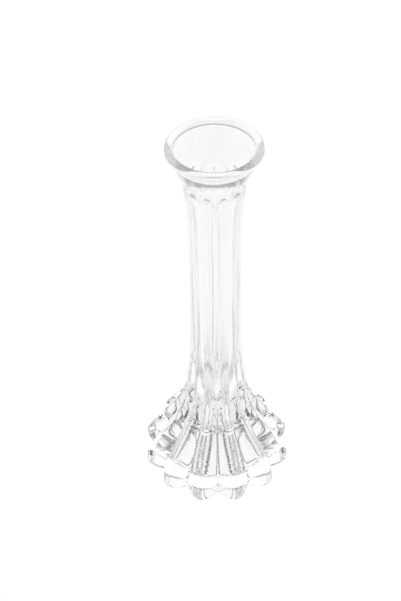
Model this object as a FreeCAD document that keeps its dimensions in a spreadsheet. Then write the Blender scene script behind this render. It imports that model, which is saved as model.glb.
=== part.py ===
"""Clear pressed-glass bud vase: twelve reeds run down a slim stem and flare into twelve petals.

Frame: origin at the centre of the foot, on the plane that the vase stands on, +Z up the axis.
The front is -Y, where a valley between two petals faces.  All sizes are in millimetres.

The vase is one glass body.  It is divided here, face to face, into the regions that a glass
worker names: the rim bead, the flared neck, the fluted stem, the petal foot and the thick base.
"""
import FreeCAD, Part

import math
import os

import Sketcher

PETALS = 12

RING_SIZES = (
    ("bead_ring_radius", 22.3),
    ("bead_radius", 2.2),
    ("bead_height", 226.8),
    ("neck_foot_height", 208.0),
    ("neck_foot_radius", 15.95),
    ("neck_top_radius", 22.9),
    ("throat_top_radius", 20.7),
    ("throat_radius", 12.2),
    ("bore_radius", 10.4),
    ("bore_top_height", 196.0),
    ("stem_foot_height", 60.0),
    ("base_radius", 14.0),
    ("base_height", 28.4),
    ("recess_radius", 25.8),
    ("recess_depth", 3.5),
    ("half_pitch", 180.0 / PETALS),
)

# Height, crest radius, valley radius and nose radius of each level of the reeds.
STEM_LEVELS = (
    (60.0, 17.0, 14.3, 3.3),
    (72.0, 15.5, 14.0, 3.7),
    (90.0, 14.5, 13.5, 4.2),
    (121.0, 14.0, 13.1, 4.2),
    (150.0, 13.85, 12.95, 4.2),
    (180.0, 14.6, 13.6, 4.2),
    (203.0, 16.0, 14.8, 4.4),
    (208.0, 15.95, 15.85, 11.5),
)

# The same four sizes for the petals, from the plane the vase stands on up to the stem.
FOOT_LEVELS = (
    (0.0, 42.4, 36.6, 9.0),
    (3.0, 43.4, 36.8, 8.8),
    (7.0, 43.3, 34.3, 8.3),
    (12.0, 41.2, 30.0, 7.4),
    (18.0, 37.2, 25.0, 6.3),
    (28.0, 29.8, 16.5, 5.0),
    (36.0, 24.5, 15.0, 4.4),
    (47.0, 19.8, 14.6, 3.7),
    (60.0, 17.0, 14.3, 3.3),
)
LEVEL_FIELDS = ("height", "crest", "valley", "nose")

AXIS = 0.0
# How far a cut runs past the face that it opens through.
PAST = 1.0


def fill_sheet(doc):
    """Put every driving size in one sheet, as a number with a word for its alias."""
    sheet = doc.addObject("Spreadsheet::Sheet", "dims")
    sizes = list(RING_SIZES)
    for name, levels in (("stem", STEM_LEVELS), ("foot", FOOT_LEVELS)):
        for index, level in enumerate(levels):
            for field, value in zip(LEVEL_FIELDS, level):
                sizes.append((f"{name}_{field}_{index}", value))
    for row, (alias, value) in enumerate(sizes, start=1):
        sheet.set(f"A{row}", alias)
        sheet.set(f"B{row}", f"{value:g}")
        sheet.setAlias(f"B{row}", alias)
    doc.recompute()
    return dict(sizes)


def origin_feature(body, role):
    """Give one of the body's own origin planes or axes."""
    return next(item for item in body.Origin.OriginFeatures if item.Role == role)


def new_body(doc, label, turn=0.0):
    """Start an empty body with its own label and placement."""
    body = doc.addObject("PartDesign::Body", label)
    body.Label = label
    body.Placement = FreeCAD.Placement(FreeCAD.Vector(0, 0, 0), FreeCAD.Rotation(FreeCAD.Vector(0, 0, 1), turn))
    return body


def new_sketch(body, name, role):
    """Start a sketch on one of the body's own origin planes."""
    sketch = body.newObject("Sketcher::SketchObject", name)
    sketch.AttachmentSupport = [(origin_feature(body, role), "")]
    sketch.MapMode = "FlatFace"
    return sketch


def bind(sketch, kind, *args):
    """Add one dimension constraint whose value comes from an expression, the last argument."""
    *where, value, expression = args
    index = sketch.addConstraint(Sketcher.Constraint(kind, *where, value))
    sketch.setExpression(f"Constraints[{index}]", expression)


def place_point(sketch, geo, point, spot, names):
    """Fix one point of a profile at a radius and a height, both bound to the sheet."""
    bind(sketch, "DistanceX", -1, 1, geo, point, spot[0], names[0])
    bind(sketch, "DistanceY", -1, 1, geo, point, spot[1], names[1])


def profile(body, name, corners):
    """Draw a closed outline of straight sides in the XZ plane.

    Each corner is (radius, height, radius expression, height expression).
    """
    sketch = new_sketch(body, name, "XZ_Plane")
    spots = [FreeCAD.Vector(corner[0], corner[1], 0) for corner in corners]
    count = len(spots)
    for index in range(count):
        sketch.addGeometry(Part.LineSegment(spots[index], spots[(index + 1) % count]), False)
    for index in range(count):
        sketch.addConstraint(Sketcher.Constraint("Coincident", index, 2, (index + 1) % count, 1))
    for index, corner in enumerate(corners):
        place_point(sketch, index, 1, corner[:2], corner[2:])
    return sketch


def spin(body, kind, name, sketch):
    """Turn a profile a full turn about the vase's axis, adding or removing glass."""
    feature = body.newObject(f"PartDesign::{kind}", name)
    feature.Profile = sketch
    feature.ReferenceAxis = (sketch, ["V_Axis"])
    feature.Angle = 360.0
    sketch.Visibility = False
    return feature


def bead_circle(body, name, dims):
    """Draw the round section of the rim bead in the XZ plane."""
    sketch = new_sketch(body, name, "XZ_Plane")
    centre = FreeCAD.Vector(dims["bead_ring_radius"], dims["bead_height"], 0)
    sketch.addGeometry(Part.Circle(centre, FreeCAD.Vector(0, 0, 1), dims["bead_radius"]), False)
    place_point(sketch, 0, 3, (centre.x, centre.y), ("dims.bead_ring_radius", "dims.bead_height"))
    bind(sketch, "Radius", 0, dims["bead_radius"], "dims.bead_radius")
    return sketch


def lobe_sketch(body, name, dims, level):
    """Draw one lobe's wedge at one height: two radial sides, two flanks and a round nose."""
    height, crest, valley, nose = (dims[f"{level[0]}_{field}_{level[1]}"] for field in LEVEL_FIELDS)
    cell = {field: f"dims.{level[0]}_{field}_{level[1]}" for field in LEVEL_FIELDS}
    sketch = new_sketch(body, name, "XY_Plane")
    sketch.AttachmentOffset = FreeCAD.Placement(FreeCAD.Vector(0, 0, height), FreeCAD.Rotation())
    sketch.setExpression("AttachmentOffset.Base.z", cell["height"])

    half = math.radians(dims["half_pitch"])
    low = FreeCAD.Vector(valley * math.cos(half), -valley * math.sin(half), 0)
    high = FreeCAD.Vector(low.x, -low.y, 0)
    centre = FreeCAD.Vector(crest - nose, 0, 0)
    reach = high.sub(centre)
    touch = math.atan2(reach.y, reach.x) - math.acos(nose / reach.Length)
    nose_high = centre + FreeCAD.Vector(nose * math.cos(touch), nose * math.sin(touch), 0)
    nose_low = FreeCAD.Vector(nose_high.x, -nose_high.y, 0)
    axis = FreeCAD.Vector(0, 0, 0)

    sketch.addGeometry(Part.LineSegment(axis, low), False)
    sketch.addGeometry(Part.LineSegment(low, nose_low), False)
    circle = Part.Circle(centre, FreeCAD.Vector(0, 0, 1), nose)
    sketch.addGeometry(Part.ArcOfCircle(circle, -touch, touch), False)
    sketch.addGeometry(Part.LineSegment(nose_high, high), False)
    sketch.addGeometry(Part.LineSegment(axis, high), False)

    sketch.addConstraint(Sketcher.Constraint("Coincident", 0, 1, -1, 1))
    sketch.addConstraint(Sketcher.Constraint("Coincident", 4, 1, -1, 1))
    sketch.addConstraint(Sketcher.Constraint("Coincident", 0, 2, 1, 1))
    sketch.addConstraint(Sketcher.Constraint("Tangent", 1, 2, 2, 1))
    sketch.addConstraint(Sketcher.Constraint("Tangent", 2, 2, 3, 1))
    sketch.addConstraint(Sketcher.Constraint("Coincident", 3, 2, 4, 2))
    sketch.addConstraint(Sketcher.Constraint("Symmetric", 0, 2, 3, 2, -1))
    sketch.addConstraint(Sketcher.Constraint("PointOnObject", 2, 3, -1))
    bind(sketch, "Angle", 4, half, "dims.half_pitch * 1 deg")
    bind(sketch, "Distance", 0, valley, cell["valley"])
    bind(sketch, "Radius", 2, nose, cell["nose"])
    bind(sketch, "DistanceX", -1, 1, 2, 3, crest - nose, f"{cell['crest']} - {cell['nose']}")
    return sketch


def ring_of_lobes(body, dims, family, count):
    """Loft one lobe through all its levels and repeat it round the axis."""
    sketches = [lobe_sketch(body, f"{family}_level_{i}", dims, (family, i)) for i in range(count)]
    body.Document.recompute()
    loft = body.newObject("PartDesign::AdditiveLoft", f"{family}_lobe")
    loft.Profile = sketches[0]
    loft.Sections = sketches[1:]
    loft.Ruled = True
    body.Document.recompute()
    ring = body.newObject("PartDesign::PolarPattern", f"{family}_lobes")
    ring.Originals = [loft]
    ring.Axis = (origin_feature(body, "Z_Axis"), [""])
    ring.Angle = 360.0
    ring.Occurrences = PETALS
    body.Tip = ring
    for sketch in sketches:
        sketch.Visibility = False
    return ring


def bowl_cut(body, name, apex, edge, cells, overshoot):
    """Scoop a round hollow centred on the axis, from its apex to its edge, open past the edge.

    The cells are the expressions for the apex's height, the edge's radius and the edge's height.
    """
    sketch = new_sketch(body, name, "XZ_Plane")
    radius, height = edge
    centre = (radius ** 2 + height ** 2 - apex ** 2) / (2.0 * (height - apex))
    edge_angle = math.atan2(height - centre, radius)
    apex_angle = math.copysign(math.pi / 2.0, apex - centre)
    circle = Part.Circle(FreeCAD.Vector(0, centre, 0), FreeCAD.Vector(0, 0, 1), abs(apex - centre))
    sketch.addGeometry(Part.ArcOfCircle(circle, *sorted((edge_angle, apex_angle))), False)
    apex_point, edge_point = (2, 1) if apex_angle > edge_angle else (1, 2)
    spots = (
        FreeCAD.Vector(radius, height, 0),
        FreeCAD.Vector(radius, height + overshoot, 0),
        FreeCAD.Vector(0, height + overshoot, 0),
        FreeCAD.Vector(0, apex, 0),
    )
    for start, end in zip(spots, spots[1:]):
        sketch.addGeometry(Part.LineSegment(start, end), False)
    sketch.addConstraint(Sketcher.Constraint("Coincident", 0, edge_point, 1, 1))
    sketch.addConstraint(Sketcher.Constraint("Coincident", 1, 2, 2, 1))
    sketch.addConstraint(Sketcher.Constraint("Coincident", 2, 2, 3, 1))
    sketch.addConstraint(Sketcher.Constraint("Coincident", 3, 2, 0, apex_point))
    sketch.addConstraint(Sketcher.Constraint("Vertical", 1))
    sketch.addConstraint(Sketcher.Constraint("Horizontal", 2))
    sketch.addConstraint(Sketcher.Constraint("PointOnObject", 2, 2, -2))
    sketch.addConstraint(Sketcher.Constraint("PointOnObject", 0, apex_point, -2))
    sketch.addConstraint(Sketcher.Constraint("PointOnObject", 0, 3, -2))
    bind(sketch, "DistanceY", -1, 1, 0, apex_point, apex, cells[0])
    bind(sketch, "DistanceX", -1, 1, 0, edge_point, radius, cells[1])
    if height:
        bind(sketch, "DistanceY", -1, 1, 0, edge_point, height, cells[2])
    else:
        sketch.addConstraint(Sketcher.Constraint("PointOnObject", 0, edge_point, -1))
    sketch.addConstraint(Sketcher.Constraint("DistanceY", 1, 1, 1, 2, overshoot))
    return spin(body, "Groove", f"{name}_cut", sketch)


def recess_cut(body, dims):
    """Hollow the underside, so that the vase stands on a ring and not on its middle."""
    apex, radius = dims["recess_depth"], dims["recess_radius"]
    bowl_cut(body, "recess", apex, (radius, 0.0), ("dims.recess_depth", "dims.recess_radius", None), -1.0)


def make_rim_bead(doc, dims):
    """The round, fire-polished roll of glass round the mouth."""
    body = new_body(doc, "rim_bead")
    spin(body, "Revolution", "bead", bead_circle(body, "bead_section", dims))


def make_flared_neck(doc, dims):
    """The smooth funnel between the stem and the rim bead, which seats in its top edge."""
    body = new_body(doc, "flared_neck")
    foot, top = dims["neck_foot_height"], dims["bead_height"]
    wall = profile(body, "neck_section", (
        (dims["throat_radius"], foot, "dims.throat_radius", "dims.neck_foot_height"),
        (dims["neck_foot_radius"], foot, "dims.neck_foot_radius", "dims.neck_foot_height"),
        (dims["neck_top_radius"], top, "dims.neck_top_radius", "dims.bead_height"),
        (dims["throat_top_radius"], top, "dims.throat_top_radius", "dims.bead_height"),
    ))
    spin(body, "Revolution", "neck_wall", wall)
    spin(body, "Groove", "bead_seat", bead_circle(body, "seat_section", dims))


def make_fluted_stem(doc, dims):
    """The slim column of twelve rounded reeds round a straight bore."""
    body = new_body(doc, "fluted_stem", dims["half_pitch"])
    ring_of_lobes(body, dims, "stem", len(STEM_LEVELS))
    low = dims["stem_foot_height"]
    bore, throat, bend, top = (
        dims[name] for name in ("bore_radius", "throat_radius", "bore_top_height", "neck_foot_height"))
    hollow = profile(body, "bore_section", (
        (AXIS, low - PAST, "0", f"dims.stem_foot_height - {PAST}"),
        (bore, low - PAST, "dims.bore_radius", f"dims.stem_foot_height - {PAST}"),
        (bore, bend, "dims.bore_radius", "dims.bore_top_height"),
        (throat, top, "dims.throat_radius", "dims.neck_foot_height"),
        (throat, top + PAST, "dims.throat_radius", f"dims.neck_foot_height + {PAST}"),
        (AXIS, top + PAST, "0", f"dims.neck_foot_height + {PAST}"),
    ))
    spin(body, "Groove", "bore", hollow)


def make_petal_foot(doc, dims):
    """The flared skirt of twelve thick petals, a ring round the base with the stem's bore above."""
    body = new_body(doc, "petal_foot", dims["half_pitch"])
    ring_of_lobes(body, dims, "foot", len(FOOT_LEVELS))
    bore, core, ledge, top = (
        dims[name] for name in ("bore_radius", "base_radius", "base_height", "stem_foot_height"))
    hollow = profile(body, "well_section", (
        (AXIS, -PAST, "0", f"-{PAST}"),
        (core, -PAST, "dims.base_radius", f"-{PAST}"),
        (core, ledge, "dims.base_radius", "dims.base_height"),
        (bore, ledge, "dims.bore_radius", "dims.base_height"),
        (bore, top + PAST, "dims.bore_radius", f"dims.stem_foot_height + {PAST}"),
        (AXIS, top + PAST, "0", f"dims.stem_foot_height + {PAST}"),
    ))
    spin(body, "Groove", "well", hollow)
    recess_cut(body, dims)


def make_thick_base(doc, dims):
    """The solid plug of glass under the well, with the well's round bottom in its top."""
    body = new_body(doc, "thick_base")
    core, ledge, bore = (dims[name] for name in ("base_radius", "base_height", "bore_radius"))
    plug = profile(body, "plug_section", (
        (AXIS, 0.0, "0", "0"),
        (core, 0.0, "dims.base_radius", "0"),
        (core, ledge, "dims.base_radius", "dims.base_height"),
        (AXIS, ledge, "0", "dims.base_height"),
    ))
    spin(body, "Revolution", "plug", plug)
    cells = ("dims.base_height - dims.bore_radius", "dims.bore_radius", "dims.base_height")
    bowl_cut(body, "well_bottom", ledge - bore, (bore, ledge), cells, PAST)
    recess_cut(body, dims)


def check(doc, bodies):
    """Stop with a plain message if any object failed or any sub-part has no valid solid."""
    for item in doc.Objects:
        if {"Invalid", "Error"} & set(item.State):
            raise RuntimeError(f"{item.Name} is {item.State}")
    for body in bodies:
        shape = body.Shape
        if shape.isNull() or not shape.isValid() or len(shape.Solids) != 1:
            raise RuntimeError(f"{body.Label} is not one valid solid")


def main():
    """Build the document, check it and write one STEP file for each sub-part."""
    doc = FreeCAD.newDocument("glass_bud_vase")
    dims = fill_sheet(doc)
    for make in (make_rim_bead, make_flared_neck, make_fluted_stem, make_petal_foot, make_thick_base):
        make(doc, dims)
    doc.recompute()
    bodies = [item for item in doc.Objects if item.TypeId == "PartDesign::Body"]
    check(doc, bodies)
    os.makedirs("parts", exist_ok=True)
    for body in bodies:
        body.Shape.exportStep(f"parts/{body.Label}.step")
        box = body.Shape.BoundBox
        print(f"{body.Label}: {body.Shape.Volume:.0f} mm3, z {box.ZMin:.2f} to {box.ZMax:.2f}, x {box.XLength:.2f}")


main()
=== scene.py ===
"""Looks of a clear pressed-glass bud vase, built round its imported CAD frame.

The vase is one body of glass, so one closed mesh stands for all of its CAD regions.  Its outline is
drawn once, spun about the axis, and then pressed into twelve reeds that flare into twelve petals.
Everything is in metres, with +Z up the vase's axis and -Y towards the front.
"""

import logging
import math
from dataclasses import dataclass, field
from typing import Optional, Sequence, Union

import bmesh
import bpy
from mathutils import Matrix, Vector


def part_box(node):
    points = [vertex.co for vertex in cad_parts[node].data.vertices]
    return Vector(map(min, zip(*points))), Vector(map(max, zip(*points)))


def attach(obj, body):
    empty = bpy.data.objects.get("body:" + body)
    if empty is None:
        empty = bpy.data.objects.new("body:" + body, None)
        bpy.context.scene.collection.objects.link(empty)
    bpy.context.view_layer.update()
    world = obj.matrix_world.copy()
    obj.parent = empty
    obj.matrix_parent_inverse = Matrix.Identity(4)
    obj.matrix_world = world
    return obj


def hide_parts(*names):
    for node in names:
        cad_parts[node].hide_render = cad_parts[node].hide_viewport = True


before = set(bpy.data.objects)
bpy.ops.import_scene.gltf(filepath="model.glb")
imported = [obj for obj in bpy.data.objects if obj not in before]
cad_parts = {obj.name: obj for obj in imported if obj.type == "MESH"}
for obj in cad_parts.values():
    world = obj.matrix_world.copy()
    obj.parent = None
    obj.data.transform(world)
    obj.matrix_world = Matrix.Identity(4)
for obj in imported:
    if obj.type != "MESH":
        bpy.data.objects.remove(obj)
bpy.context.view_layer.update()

LOG = logging.getLogger("bud_vase")
MM = 0.001
ON_AXIS = 0.01 * MM
MERGE_WITHIN = 0.002 * MM
NumberOrValue = Union[float, int, "Value"]


class Value:
    """A shader socket that takes part in Python arithmetic by adding Math nodes."""

    def __init__(self, tree: bpy.types.NodeTree, socket: bpy.types.NodeSocket) -> None:
        """Wrap one output socket.

        Args:
            tree: The node tree that the socket belongs to.
            socket: The output socket.
        """
        self.tree = tree
        self.socket = socket

    def _math(self, operation: str, first: "NumberOrValue", second: "NumberOrValue") -> "Value":
        """Add one Math node.

        Args:
            operation: The node's operation.
            first: Its first input.
            second: Its second input.

        Returns:
            The node's result.
        """
        node = self.tree.nodes.new("ShaderNodeMath")
        node.operation = operation
        for slot, given in enumerate((first, second)):
            if isinstance(given, Value):
                self.tree.links.new(given.socket, node.inputs[slot])
            else:
                node.inputs[slot].default_value = given
        return Value(self.tree, node.outputs[0])

    def __add__(self, other: "NumberOrValue") -> "Value":
        """Add."""
        return self._math("ADD", self, other)

    __radd__ = __add__

    def __mul__(self, other: "NumberOrValue") -> "Value":
        """Multiply."""
        return self._math("MULTIPLY", self, other)

    __rmul__ = __mul__


class NodePainter:
    """Adds nodes to one material's tree."""

    def __init__(self, name: str) -> None:
        """Start an empty material.

        Args:
            name: The material's name.
        """
        self.material = bpy.data.materials.new(name)
        self.material.use_nodes = True
        self.tree = self.material.node_tree
        self.tree.nodes.clear()

    def add(self, kind: str, inputs: Optional[dict] = None, **settings: object) -> bpy.types.Node:
        """Add one node.

        Args:
            kind: The node's type.
            inputs: Socket name to a number, a colour, a Value or an output socket.
            **settings: The node's own settings, which are set before its sockets.

        Returns:
            The node.
        """
        node = self.tree.nodes.new(kind)
        for name, given in settings.items():
            setattr(node, name, given)
        for name, given in (inputs or {}).items():
            source = given.socket if isinstance(given, Value) else given
            if isinstance(source, bpy.types.NodeSocket):
                self.tree.links.new(source, node.inputs[name])
            else:
                node.inputs[name].default_value = source
        return node

    def value(self, node: bpy.types.Node, output: str) -> Value:
        """Wrap one of a node's outputs for arithmetic."""
        return Value(self.tree, node.outputs[output])

    def ramp(self, given: bpy.types.NodeSocket, span: tuple[float, float],
             levels: tuple[float, float]) -> Value:
        """Ease from one level to another while a value crosses a span.

        Args:
            given: The value.
            span: Where the change starts and ends.
            levels: The levels before the span and after it.

        Returns:
            The level.
        """
        node = self.add("ShaderNodeMapRange", {
            "Value": given, "From Min": span[0], "From Max": span[1],
            "To Min": levels[0], "To Max": levels[1]}, interpolation_type="SMOOTHSTEP")
        return self.value(node, "Result")

    def finish(self, **shaders: bpy.types.NodeSocket) -> bpy.types.Material:
        """Send a shader to the material's Surface, and perhaps one to its Volume, and give the material."""
        self.add("ShaderNodeOutputMaterial", shaders)
        return self.material


@dataclass(frozen=True)
class ClearGlass:
    """Colourless soda-lime glass: fire-polished, faintly wavy, with a breath of haze in places.

    Its greyness is the light lost per metre inside it.  Its streaks run along the vase, as the glass
    flowed in the mould: streak_scale sets how many go round, and streak_stretch how soon they change.
    """

    ior: float = 1.52
    tint: tuple[float, float, float] = (0.978, 0.982, 0.98)
    greyness: float = 3.5
    haze: float = 0.012
    haze_scale: float = 45.0
    ripple: float = 0.2
    ripple_depth: float = 0.5 * MM
    streak_scale: float = 9.0
    streak_stretch: float = 0.25

    def material(self) -> bpy.types.Material:
        """Build the glass from a Principled shader, with its waviness on Object coordinates."""
        paint = NodePainter("clear_glass")
        place = paint.add("ShaderNodeTexCoord").outputs["Object"]
        outward = paint.add("ShaderNodeVectorMath", {0: place, 1: (1.0, 1.0, 0.0)}, operation="MULTIPLY")
        around = paint.add("ShaderNodeVectorMath", {0: outward.outputs["Vector"]}, operation="NORMALIZE")
        along = paint.add("ShaderNodeVectorMath", {
            0: place, 1: (0.0, 0.0, self.streak_stretch)}, operation="MULTIPLY")
        drawn = paint.add("ShaderNodeVectorMath", {
            0: around.outputs["Vector"], 1: along.outputs["Vector"]}, operation="ADD")
        flow = paint.add("ShaderNodeTexNoise", {
            "Vector": drawn.outputs["Vector"], "Scale": self.streak_scale, "Detail": 2.0, "Roughness": 0.55})
        breath = paint.add("ShaderNodeTexNoise", {"Vector": place, "Scale": self.haze_scale, "Detail": 3.0})
        bump = paint.add("ShaderNodeBump", {
            "Height": paint.value(flow, "Fac"), "Strength": self.ripple, "Distance": self.ripple_depth})
        shader = paint.add("ShaderNodeBsdfPrincipled", {
            "Base Color": (*self.tint, 1.0),
            "Roughness": paint.value(breath, "Fac") * self.haze,
            "IOR": self.ior,
            "Transmission Weight": 1.0,
            "Normal": bump.outputs["Normal"],
        })
        inside = paint.add("ShaderNodeVolumeAbsorption", {
            "Color": (0.0, 0.0, 0.0, 1.0), "Density": self.greyness})
        return paint.finish(Surface=shader.outputs["BSDF"], Volume=inside.outputs["Volume"])


@dataclass(frozen=True)
class FloorLight:
    """White paper with soft light from behind painted into its glow: a painted pool of light by the vase,
    painted shade in front and far off.

    Each level has the span, in metres, over which the floor passes between it and the plain level.
    """

    plain: float = 1.01
    near: float = 1.14
    near_span: tuple[float, float] = (0.03, 0.08)
    front: float = 0.6
    front_span: tuple[float, float] = (-0.45, -0.1)
    far: float = 0.7
    far_span: tuple[float, float] = (0.62, 1.2)

    def material(self) -> bpy.types.Material:
        """Build the floor's glow, with its painted light and shade, on Object coordinates."""
        paint = NodePainter("floor_painted_light")
        place = paint.add("ShaderNodeTexCoord").outputs["Object"]
        away = paint.add("ShaderNodeVectorMath", {0: place}, operation="LENGTH").outputs["Value"]
        depth = paint.add("ShaderNodeSeparateXYZ", {"Vector": place}).outputs["Y"]
        # Painted light and shade in the floor's glow: a painted pool of light round the vase, painted shade
        # towards the front and a painted fall-off far off.
        pool = paint.ramp(away, self.near_span, (self.near - self.plain, 0.0))
        front_shade = paint.ramp(depth, self.front_span, (self.front, self.plain))
        fade = paint.ramp(away, self.far_span, (1.0, self.far))
        shader = paint.add("ShaderNodeEmission", {"Color": (pool + front_shade) * fade, "Strength": 1.0})
        return paint.finish(Surface=shader.outputs["Emission"])


@dataclass(frozen=True)
class DomeLight:
    """Soft light all round, dim at the skyline, with a softbox overhead and a dark gap round the camera.

    Each spot has a level, the way to its middle, and the distances from its middle at which its edge
    starts and ends.  Those distances and the skyline's span of heights are shares of the reach.
    """

    reach: float
    plain: float = 0.74
    back: float = 1.24
    back_way: tuple[float, float, float] = (0.0, 0.66, 0.75)
    back_edge: tuple[float, float] = (0.35, 0.85)
    gap: float = 0.04
    gap_way: tuple[float, float, float] = (-0.01, -0.63, 0.77)
    gap_edge: tuple[float, float] = (0.7, 0.95)
    softbox: float = 9.0
    softbox_way: tuple[float, float, float] = (0.0, -0.12, 0.99)
    softbox_edge: tuple[float, float] = (0.16, 0.24)
    skyline: float = 0.45
    skyline_span: tuple[float, float] = (0.08, 0.28)

    def spot(self, paint: NodePainter, place: bpy.types.NodeSocket, way: tuple[float, float, float],
             edge: tuple[float, float], levels: tuple[float, float]) -> Value:
        """Mark a round spot on the dome.

        Args:
            paint: The material's painter.
            place: The Object coordinates.
            way: The direction of the spot's middle.
            edge: Where its edge starts and ends, as shares of the dome's reach.
            levels: The level inside the spot and outside it.

        Returns:
            The level everywhere.
        """
        middle = Vector(way).normalized() * self.reach
        apart = paint.add("ShaderNodeVectorMath", {0: place, 1: middle}, operation="DISTANCE")
        return paint.ramp(apart.outputs["Value"], (edge[0] * self.reach, edge[1] * self.reach), levels)

    def material(self) -> bpy.types.Material:
        """Build the dome's glow on Object coordinates."""
        paint = NodePainter("dome_light")
        place = paint.add("ShaderNodeTexCoord").outputs["Object"]
        height = paint.add("ShaderNodeSeparateXYZ", {"Vector": place}).outputs["Z"]
        low, high = self.skyline_span
        back = self.spot(paint, place, self.back_way, self.back_edge, (self.back, self.plain))
        gap = self.spot(paint, place, self.gap_way, self.gap_edge, (self.gap, 1.0))
        softbox = self.spot(paint, place, self.softbox_way, self.softbox_edge, (self.softbox, 0.0))
        skyline = paint.ramp(height, (low * self.reach, high * self.reach), (self.skyline, 1.0))
        shader = paint.add("ShaderNodeEmission", {"Color": back * gap * skyline + softbox, "Strength": 1.0})
        return paint.finish(Surface=shader.outputs["Emission"])


@dataclass(frozen=True)
class Ring:
    """One level of the glass: the radius and height of a lobe's crest and of its valley, in millimetres."""

    crest: tuple[float, float]
    valley: tuple[float, float]
    roundness: float
    softness: float = 0.0

    @classmethod
    def plain(cls, radius: float, height: float) -> "Ring":
        """Give a level that is a true circle."""
        return cls((radius, height), (radius, height), 0.5)

    def numbers(self) -> tuple[float, ...]:
        """Give the level as six numbers, for mixing."""
        return (*self.crest, *self.valley, self.roundness, self.softness)


def flowing(rings: Sequence[Ring], steps: int) -> list[Ring]:
    """Run a smooth curve through a few levels.

    Args:
        rings: The levels that the curve passes through.
        steps: How many pieces each stretch between two levels is cut into.

    Returns:
        The levels along the curve, with both ends.
    """
    rows = [ring.numbers() for ring in rings]
    padded = [rows[0], *rows, rows[-1]]
    made = []
    for index in range(len(rows) - 1):
        before, start, end, after = padded[index:index + 4]
        for step in range(steps):
            t = step / steps
            made.append([
                0.5 * (2 * b + (c - a) * t + (2 * a - 5 * b + 4 * c - d) * t ** 2
                       + (3 * b - a - 3 * c + d) * t ** 3)
                for a, b, c, d in zip(before, start, end, after)])
    made.append(list(rows[-1]))
    return [Ring((row[0], row[1]), (row[2], row[3]), row[4], row[5]) for row in made]


def arc(centre: tuple[float, float], radius: float, start: float, end: float, steps: int) -> list[Ring]:
    """Give true circles along an arc of the outline.

    Args:
        centre: The arc's centre, as radius and height.
        radius: The arc's radius.
        start: The angle where it starts, in degrees from outwards, positive upwards.
        end: The angle where it ends.
        steps: How many pieces it is cut into.

    Returns:
        The levels along the arc, with both ends.
    """
    angles = [math.radians(start + (end - start) * step / steps) for step in range(steps + 1)]
    return [Ring.plain(centre[0] + radius * math.cos(a), centre[1] + radius * math.sin(a)) for a in angles]


class Lobe:
    """The cross-section shared by the reeds and the petals.

    CROWDING, from 0 to 1, says how closely the mesh gathers at the valleys.
    """

    COUNT = 12
    PITCH = 2.0 * math.pi / COUNT
    CROWDING = 0.8

    @classmethod
    def across(cls, angle: float) -> float:
        """Say how far across its lobe an angle lies, from -1 in one valley to 1 in the next."""
        turn = (angle + math.pi / 2.0) / cls.PITCH
        return 2.0 * (turn - math.floor(turn)) - 1.0

    @classmethod
    def crowded(cls, angle: float) -> float:
        """Move an evenly spaced angle towards its valley, where the flanks are steep."""
        across = cls.across(angle)
        bent = math.sin(across * cls.CROWDING * math.pi / 2.0) / math.sin(cls.CROWDING * math.pi / 2.0)
        return angle + (bent - across) * cls.PITCH / 2.0

    @staticmethod
    def lift(across: float, roundness: float, softness: float) -> float:
        """Say how far the surface has risen from its valley, 0, to its crest, 1.

        Args:
            across: Where it lies across the lobe, from -1 to 1.
            roundness: From near 0, a shallow bow, to near 1, a full half round.
            softness: From 0, a creased valley, to 1, a valley as round as the crest.

        Returns:
            The share of the way from valley to crest.
        """
        edge = math.sqrt(1.0 - roundness)
        bow = (math.sqrt(1.0 - roundness * across * across) - edge) / (1.0 - edge)
        wave = 0.5 + 0.5 * math.cos(math.pi * across)
        return bow + (wave - bow) * softness


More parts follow.
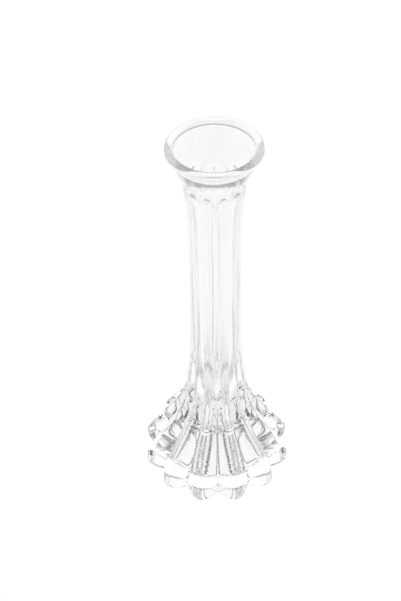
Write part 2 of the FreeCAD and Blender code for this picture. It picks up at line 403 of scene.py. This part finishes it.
@dataclass
class PressedGlass:
    """The vase's one body of glass.  Its sizes are in millimetres, and its angles in degrees.

    Three levels are where two stretches of the outline meet: petal_tip, stem_foot and reed_end.
    """

    steps_round: int = 288
    bead_ring: float = 22.3
    bead: float = 2.2
    bead_span: tuple[float, float] = (-78.0, 206.0)
    bore: float = 10.4
    well_floor: float = 18.0
    recess_roof: float = 24.0
    recess_depth: float = 3.0
    sag: float = 1.2
    collar_foot: float = 203.0
    collar_radius_at_foot: float = 15.25
    collar_slope: float = 0.405
    collar_ease: float = 4.0
    arch_rise: float = 4.5
    arch_fade: float = 2.6
    petal_tip: Ring = Ring((43.5, 4.4), (35.8, 3.6), 0.90, 0.6)
    stem_foot: Ring = Ring((15.3, 81.0), (13.7, 80.0), 0.60, 0.3)
    reed_end: Ring = Ring((15.6, 198.0), (14.5, 197.0), 0.60, 0.3)
    height: float = field(init=False)

    def __post_init__(self) -> None:
        """Take the height from the frame."""
        self.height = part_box("rim_bead")[1].z / MM

    def underside(self) -> list[Ring]:
        """Draw the roof of the shallow recess under the foot, which sags a little in the middle."""
        return [
            Ring.plain(self.recess_roof * share, self.recess_depth - self.sag * (1.0 - share * share))
            for share in (0.0, 0.2, 0.4, 0.6, 0.75, 0.9, 1.0)]

    def petals(self) -> list[Ring]:
        """Draw the petals, from the recess's edge round their tips and up to the stem."""
        lip = flowing([
            Ring.plain(self.recess_roof, self.recess_depth),
            Ring((25.0, 2.75), (25.3, 2.8), 0.80, 0.5),
            Ring((26.6, 1.75), (27.6, 2.1), 0.80, 0.5),
            Ring((28.3, 0.6), (30.4, 1.25), 0.80, 0.5),
            Ring((30.2, 0.0), (33.2, 0.55), 0.80, 0.5),
            Ring((36.0, 0.0), (34.9, 0.3), 0.80, 0.6),
            Ring((41.2, 0.1), (35.6, 0.8), 0.80, 0.6),
            Ring((43.0, 1.5), (35.9, 2.0), 0.84, 0.6),
            self.petal_tip,
        ], 4)
        back = flowing([
            self.petal_tip,
            Ring((42.8, 8.8), (35.0, 6.0), 0.90, 0.65),
            Ring((40.0, 13.9), (33.7, 10.4), 0.90, 0.5),
            Ring((36.2, 19.7), (31.1, 15.8), 0.90, 0.4),
            Ring((31.6, 26.9), (27.7, 22.6), 0.90, 0.35),
            Ring((27.0, 34.0), (23.8, 29.6), 0.90, 0.3),
            Ring((23.4, 39.8), (20.3, 35.6), 0.88, 0.3),
            Ring((20.5, 45.5), (17.7, 41.4), 0.84, 0.3),
            Ring((18.6, 52.5), (15.5, 46.5), 0.80, 0.3),
            Ring((17.2, 60.0), (14.7, 56.0), 0.74, 0.3),
            Ring((16.1, 70.0), (14.1, 68.0), 0.66, 0.3),
            self.stem_foot,
        ], 5)
        return lip + back[1:]

    def reeds(self) -> list[Ring]:
        """Draw the stem's reeds up to their rounded tops, which stand out from the collar."""
        stem = flowing([
            self.stem_foot,
            Ring((14.5, 95.0), (13.4, 95.0), 0.58, 0.45),
            Ring((14.05, 121.0), (13.0, 121.0), 0.58, 0.5),
            Ring((13.9, 150.0), (12.85, 150.0), 0.58, 0.5),
            Ring((14.6, 180.0), (13.5, 180.0), 0.58, 0.5),
            self.reed_end,
        ], 5)
        foot, rise = self.collar_foot, self.arch_rise
        tops = flowing([
            self.reed_end,
            Ring((15.9, foot + 0.2), (14.7, foot - 2.6), 0.64, 0.15),
            Ring((15.98, foot + 0.58 * rise), (14.7, foot - 1.0), 0.66),
            Ring((15.95, foot + 0.86 * rise), (14.75, foot - 0.35), 0.68),
            Ring((15.88, foot + rise), (15.1, foot), 0.70),
        ], 4)
        return stem[1:] + tops[1:]

    def collar_radius(self, height: float) -> float:
        """Give the smooth collar's radius at a height, a funnel that eases into the stem."""
        widened = math.hypot(height - self.collar_foot, self.collar_ease) - self.collar_ease
        return self.collar_radius_at_foot + self.collar_slope * widened

    def collar(self) -> list[Ring]:
        """Draw the collar from the reeds' tops, whose scalloped line fades out, up to the bead."""
        foot, rise, fade = self.collar_foot, self.arch_rise, self.arch_fade
        rows = []
        for share in (0.12, 0.3, 0.55, 0.8):
            crest = foot + rise + share * fade
            valley = foot + share * (rise + fade)
            rows.append(Ring((self.collar_radius(crest), crest), (self.collar_radius(valley), valley), 0.7))
        under_bead = self.height - 2.0 * self.bead - 0.9
        for height in (210.4, 212.5, 215.0, 217.5, 220.0, 222.0, under_bead):
            rows.append(Ring.plain(self.collar_radius(height), height))
        return rows

    def mouth(self) -> list[Ring]:
        """Draw the round bead from its outer foot, over the top, to its inner foot."""
        centre = (self.bead_ring, self.height - self.bead)
        return arc(centre, self.bead, *self.bead_span, steps=30)

    def inside(self) -> list[Ring]:
        """Draw the throat, the bore and the well's round floor."""
        well_top = self.well_floor + self.bore
        throat = flowing([
            Ring.plain(radius, height) for radius, height in (
                (19.8, 223.6), (19.15, 221.4), (18.1, 219.4), (17.0, 217.3), (15.7, 214.4), (14.05, 210.0),
                (12.7, 205.0), (11.7, 199.0), (11.0, 190.0), (10.6, 175.0), (self.bore, 140.0),
                (self.bore, 100.0), (self.bore, 60.0), (self.bore, well_top))
        ], 4)
        return throat[:-1] + arc((0.0, well_top), self.bore, 0.0, -90.0, steps=12)

    def outline(self) -> list[Ring]:
        """Join the stretches of the outline, from the middle underneath to the middle of the well."""
        return self.underside() + self.petals() + self.reeds() + self.collar() + self.mouth() + self.inside()

    def build(self) -> bpy.types.Object:
        """Spin the outline, press the lobes into it and give the object."""
        mesh = bmesh.new()
        levels = [mesh.verts.layers.float.new(name)
                  for name in ("valley_radius", "valley_height", "roundness", "softness")]
        chain = []
        for ring in self.outline():
            vert = mesh.verts.new((0.0, -ring.crest[0] * MM, ring.crest[1] * MM))
            carried = (ring.valley[0] * MM, ring.valley[1] * MM, ring.roundness, ring.softness)
            for layer, value in zip(levels, carried):
                vert[layer] = value
            chain.append(vert)
        edges = [mesh.edges.new(pair) for pair in zip(chain, chain[1:])]
        bmesh.ops.spin(
            mesh, geom=chain + edges, cent=(0, 0, 0), axis=(0, 0, 1), dvec=(0, 0, 0),
            angle=2.0 * math.pi, steps=self.steps_round, use_merge=True, use_duplicate=False)
        self.press(mesh, levels)
        bmesh.ops.remove_doubles(mesh, verts=mesh.verts[:], dist=MERGE_WITHIN)
        bmesh.ops.recalc_face_normals(mesh, faces=mesh.faces[:])
        return finished(mesh, "glass_body")

    def press(self, mesh: bmesh.types.BMesh, levels: list) -> None:
        """Move every vertex of the spun outline to its place between crest and valley, none under the floor.

        Args:
            mesh: The spun outline, all of it at its crest's radius and height.
            levels: The layers that hold each vertex's valley radius, valley height, roundness and softness.
        """
        valley_radius, valley_height, roundness, softness = levels
        for vert in mesh.verts:
            crest = math.hypot(vert.co.x, vert.co.y)
            if crest < ON_AXIS:
                continue
            angle = Lobe.crowded(math.atan2(vert.co.y, vert.co.x))
            lift = Lobe.lift(Lobe.across(angle), vert[roundness], vert[softness])
            radius = vert[valley_radius] + (crest - vert[valley_radius]) * lift
            height = max(0.0, vert[valley_height] + (vert.co.z - vert[valley_height]) * lift)
            vert.co = (radius * math.cos(angle), radius * math.sin(angle), height)


def finished(mesh: bmesh.types.BMesh, name: str, sharp: float = 40.0) -> bpy.types.Object:
    """Turn a bmesh into a smooth-shaded object at the origin.

    Args:
        mesh: The bmesh, which is freed.
        name: The object's name.
        sharp: The angle in degrees past which an edge stays sharp.

    Returns:
        The object, linked to the scene.
    """
    for face in mesh.faces:
        face.smooth = True
    for edge in mesh.edges:
        edge.smooth = len(edge.link_faces) == 2 and edge.calc_face_angle(0.0) < math.radians(sharp)
    data = bpy.data.meshes.new(name)
    mesh.to_mesh(data)
    mesh.free()
    piece = bpy.data.objects.new(name, data)
    bpy.context.scene.collection.objects.link(piece)
    return piece


@dataclass
class Studio:
    """The pale floor, the soft light and the camera.  Its sizes are in metres, and its angles in degrees.

    The glass guides light down inside its wall, so a path needs many bounces to reach the floor.
    """

    reach: float = 6.0
    floor_drop: float = 0.02 * MM
    bounces: int = 96
    camera_place: tuple[float, float, float] = (-0.00813, -0.48784, 0.59952)
    camera_pitch: float = 44.26
    camera_roll: float = -1.15
    lens: float = 75.4

    def floor(self) -> bpy.types.Object:
        """Lay the round white floor, just clear of the glass."""
        mesh = bmesh.new()
        bmesh.ops.create_circle(mesh, cap_ends=True, segments=64, radius=self.reach)
        bmesh.ops.translate(mesh, verts=mesh.verts[:], vec=(0.0, 0.0, -self.floor_drop))
        piece = finished(mesh, "floor")
        piece.data.materials.append(FloorLight().material())
        return piece

    def surroundings(self) -> bpy.types.Object:
        """Stand a dome of soft light round the vase, brightest behind it."""
        mesh = bmesh.new()
        bmesh.ops.create_icosphere(mesh, subdivisions=5, radius=self.reach)
        piece = finished(mesh, "light_dome")
        piece.data.materials.append(DomeLight(self.reach).material())
        return piece

    def camera(self) -> bpy.types.Object:
        """Set the camera at the usual viewing angle, looking down on the vase."""
        data = bpy.data.cameras.new("camera")
        data.sensor_width = 36.0
        data.lens = self.lens
        data.clip_start = 0.01
        camera = bpy.data.objects.new("camera", data)
        turn = Matrix.Rotation(math.radians(90.0 - self.camera_pitch), 4, "X")
        roll = Matrix.Rotation(math.radians(self.camera_roll), 4, "Z")
        camera.matrix_world = Matrix.Translation(self.camera_place) @ turn @ roll
        bpy.context.scene.collection.objects.link(camera)
        bpy.context.scene.camera = camera
        return camera

    def set_up(self) -> None:
        """Build the studio and set how the picture is developed."""
        for piece in (self.floor(), self.surroundings()):
            LOG.info("%s: %d faces", piece.name, len(piece.data.polygons))
        self.camera()
        scene = bpy.context.scene
        scene.view_settings.view_transform = "Standard"
        scene.cycles.max_bounces = self.bounces
        scene.cycles.glossy_bounces = self.bounces
        scene.cycles.transmission_bounces = self.bounces


def main() -> None:
    """Build the vase and the studio, and say what was made."""
    glass = PressedGlass()
    body = glass.build()
    body.data.materials.append(ClearGlass().material())
    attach(body, "root")
    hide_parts("rim_bead", "flared_neck", "fluted_stem", "petal_foot", "thick_base")
    LOG.info("%s: %d faces", body.name, len(body.data.polygons))
    Studio().set_up()


if __name__ == "__main__":
    logging.basicConfig(level=logging.INFO, format="%(message)s")
    main()
